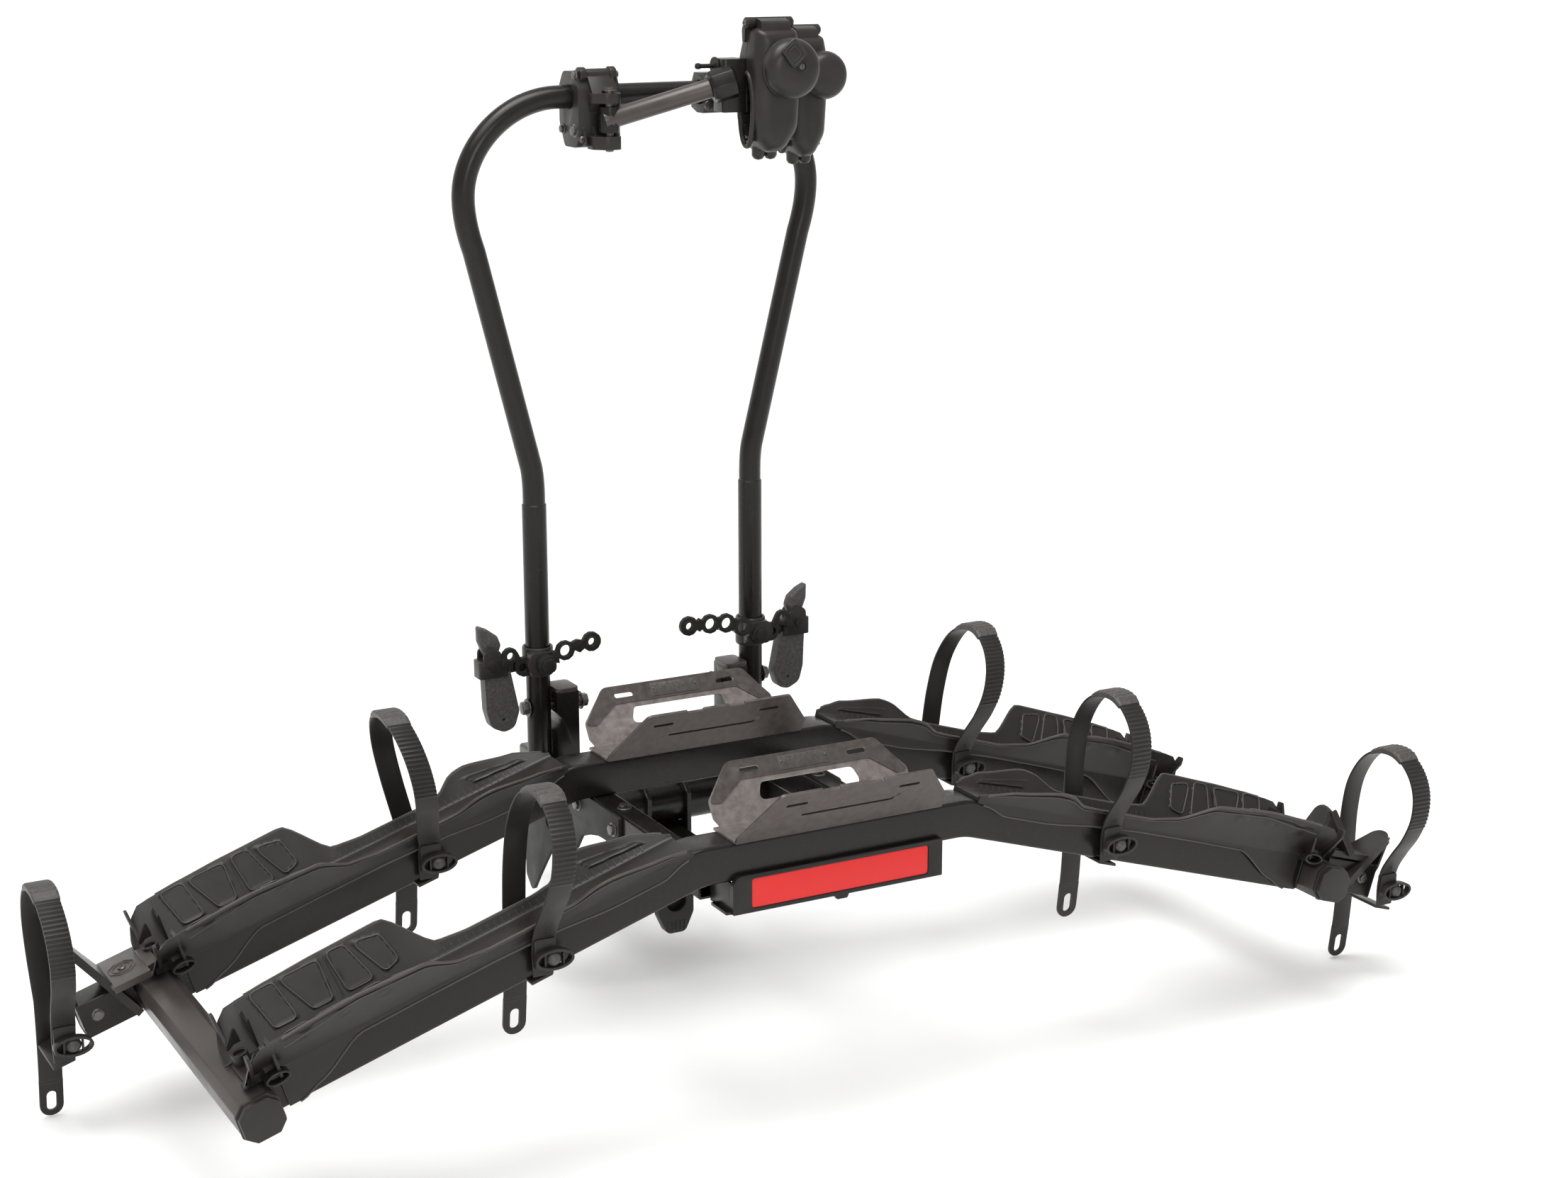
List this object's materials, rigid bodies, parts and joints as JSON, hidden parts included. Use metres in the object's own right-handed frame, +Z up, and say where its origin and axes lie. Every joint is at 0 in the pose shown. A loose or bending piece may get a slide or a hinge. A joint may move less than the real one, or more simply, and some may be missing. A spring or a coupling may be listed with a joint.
{
  "type": "hitch mounted bike rack",
  "caption": "Platform rack for a tow hitch: arched wheel beams with strapped trays, a folding hoop with frame clamps, and a tilting hitch bar.",
  "frame": {"origin": "mid-plane of the rack, on the top face of the hitch bar, straight above the hitch pin", "axes": "+X across the vehicle, +Y along the hitch bar towards the vehicle, +Z up"},
  "size_m": [1.7112, 0.9553, 1.2515],
  "materials": {
    "black_paint": "black satin powder coat",
    "grey_sheet": "warm grey metallic powder coat on bent sheet",
    "arm_paint": "warm brown-grey satin paint",
    "tray_plastic": "charcoal moulded plastic",
    "clamp_plastic": "dark grey glass-filled plastic",
    "strap_plastic": "charcoal flexible ladder strap",
    "pad_plastic": "grey moulded pad",
    "rubber": "black holed rubber",
    "red_lens": "red reflective film, plain",
    "zinc": "dull zinc fasteners"
  },
  "bodies": {
    "hitch": {"hitch_bar": "black_paint", "clevis_plate_left": "grey_sheet", "clevis_plate_right": "grey_sheet", "hitch_pin": "zinc", "hitch_clip": "zinc"},
    "tilt_lock": {"tilt_lock_pin": "zinc"},
    "platform": {"back_beam": "black_paint", "front_beam": "black_paint", "back_cradle": "grey_sheet", "front_cradle": "grey_sheet", "tray_back_left": "tray_plastic", "tray_back_right": "tray_plastic", "tray_front_left": "tray_plastic", "tray_front_right": "tray_plastic", "side_rail_left": "black_paint", "gusset_left": "grey_sheet", "end_tube_left": "black_paint", "front_cap_left": "clamp_plastic", "back_cap_left": "clamp_plastic", "hoop_post_left": "black_paint", "hoop_pivot_bolt_left": "zinc", "side_rail_right": "black_paint", "gusset_right": "grey_sheet", "end_tube_right": "black_paint", "front_cap_right": "clamp_plastic", "back_cap_right": "clamp_plastic", "hoop_post_right": "black_paint", "hoop_pivot_bolt_right": "zinc", "pivot_tube": "black_paint", "reflector_housing": "black_paint", "reflector": "red_lens"},
    "pedal": {"release_pedal": "rubber"},
    "hoop_frame": {"hoop": "black_paint", "leg_collar_left": "clamp_plastic", "strap_anchor_left": "pad_plastic", "leg_collar_right": "clamp_plastic", "strap_anchor_right": "pad_plastic"},
    "tail_left": {"strap_tail_left": "rubber"},
    "tail_right": {"strap_tail_right": "rubber"},
    "cam_left": {"cam_blade_left": "pad_plastic"},
    "cam_right": {"cam_blade_right": "pad_plastic"},
    "bar_block_left": {"clamp_block_left": "clamp_plastic"},
    "arm": {"clamp_arm": "arm_paint", "back_jaw_1": "clamp_plastic"},
    "jaw_1": {"front_jaw_1": "clamp_plastic"},
    "knob_1": {"knob_1": "clamp_plastic"},
    "flap": {"lock_flap": "clamp_plastic"},
    "bar_block_right": {"clamp_block_right": "clamp_plastic", "back_jaw_2": "clamp_plastic"},
    "jaw_2": {"front_jaw_2": "clamp_plastic"},
    "knob_2": {"knob_2": "clamp_plastic"},
    "pull_out_left": {"extension_left": "black_paint", "outer_strap_left": "strap_plastic"},
    "pull_out_right": {"extension_right": "black_paint", "outer_strap_right": "strap_plastic"},
    "strap_back_left": {"wheel_strap_back_left": "strap_plastic"},
    "strap_back_right": {"wheel_strap_back_right": "strap_plastic"},
    "strap_front_left": {"wheel_strap_front_left": "strap_plastic"},
    "strap_front_right": {"wheel_strap_front_right": "strap_plastic"}
  },
  "joints": [
    {"name": "platform_tilt", "type": "hinge", "parent": "hitch", "child": "platform", "pos_m": [0, -0.358, 0.029], "axis": [1, 0, 0], "range_deg": [-85, 30]},
    {"name": "lock_pin_pull", "type": "slide", "parent": "hitch", "child": "tilt_lock", "axis": [-1, 0, 0], "range_m": [0, 0.016]},
    {"name": "pedal_press", "type": "hinge", "parent": "platform", "child": "pedal", "pos_m": [0, -0.685, 0.055], "axis": [1, 0, 0], "range_deg": [0, 25]},
    {"name": "hoop_fold", "type": "hinge", "parent": "platform", "child": "hoop_frame", "pos_m": [0, -0.327, 0.176], "axis": [1, 0, 0], "range_deg": [0, 88]},
    {"name": "tail_left_lift", "type": "hinge", "parent": "hoop_frame", "child": "tail_left", "pos_m": [-0.154, -0.354, 0.2385], "axis": [0, -1, 0], "range_deg": [0, 88]},
    {"name": "tail_right_lift", "type": "hinge", "parent": "hoop_frame", "child": "tail_right", "pos_m": [0.154, -0.354, 0.2385], "axis": [0, 1, 0], "range_deg": [0, 88]},
    {"name": "cam_left_open", "type": "hinge", "parent": "hoop_frame", "child": "cam_left", "pos_m": [-0.22, -0.327, 0.258], "axis": [0, -1, 0], "range_deg": [0, 55]},
    {"name": "cam_right_open", "type": "hinge", "parent": "hoop_frame", "child": "cam_right", "pos_m": [0.22, -0.327, 0.258], "axis": [0, 1, 0], "range_deg": [0, 55]},
    {"name": "block_left_turn", "type": "hinge", "parent": "hoop_frame", "child": "bar_block_left", "pos_m": [0, -0.327, 0.949], "axis": [1, 0, 0], "range_deg": [-20, 20]},
    {"name": "arm_swing", "type": "hinge", "parent": "bar_block_left", "child": "arm", "pos_m": [-0.062, -0.372, 0.923], "axis": [0, 0, 1], "range_deg": [-100, 0]},
    {"name": "jaw_1_open", "type": "hinge", "parent": "arm", "child": "jaw_1", "pos_m": [0, -0.418, 1.037], "axis": [1, 0, 0], "range_deg": [-45, 0]},
    {"name": "knob_1_turn", "type": "hinge", "parent": "jaw_1", "child": "knob_1", "pos_m": [0.144, -0.47, 0.983], "axis": [0, 1, 0], "continuous": true},
    {"name": "flap_turn", "type": "hinge", "parent": "knob_1", "child": "flap", "pos_m": [0.136, -0.482, 1.002], "axis": [0, 1, 0], "range_deg": [0, 90]},
    {"name": "block_right_turn", "type": "hinge", "parent": "hoop_frame", "child": "bar_block_right", "pos_m": [0, -0.327, 0.949], "axis": [1, 0, 0], "range_deg": [-12, 3]},
    {"name": "jaw_2_open", "type": "hinge", "parent": "bar_block_right", "child": "jaw_2", "pos_m": [0, -0.378, 1.025], "axis": [1, 0, 0], "range_deg": [-28, 0]},
    {"name": "knob_2_turn", "type": "hinge", "parent": "jaw_2", "child": "knob_2", "pos_m": [0.212, -0.47, 0.971], "axis": [0, 1, 0], "continuous": true},
    {"name": "pull_out_left_slide", "type": "slide", "parent": "platform", "child": "pull_out_left", "axis": [-0.9537, 0, -0.3007], "range_m": [0, 0.05]},
    {"name": "pull_out_right_slide", "type": "slide", "parent": "platform", "child": "pull_out_right", "axis": [0.9537, 0, -0.3007], "range_m": [0, 0.05]},
    {"name": "strap_back_left_slide", "type": "slide", "parent": "platform", "child": "strap_back_left", "axis": [-0.9537, 0, -0.3007], "range_m": [-0.02, 0.05]},
    {"name": "strap_back_right_slide", "type": "slide", "parent": "platform", "child": "strap_back_right", "axis": [0.9537, 0, -0.3007], "range_m": [-0.02, 0.05]},
    {"name": "strap_front_left_slide", "type": "slide", "parent": "platform", "child": "strap_front_left", "axis": [-0.9537, 0, -0.3007], "range_m": [-0.02, 0.05]},
    {"name": "strap_front_right_slide", "type": "slide", "parent": "platform", "child": "strap_front_right", "axis": [0.9537, 0, -0.3007], "range_m": [-0.02, 0.05]}
  ],
  "couplings": [
    {"joint": "lock_pin_pull", "follows": "pedal_press", "m_per_rad": 0.0366},
    {"joint": "tail_left_lift", "follows": "hoop_fold", "ratio": 1},
    {"joint": "tail_right_lift", "follows": "hoop_fold", "ratio": 1}
  ]
}
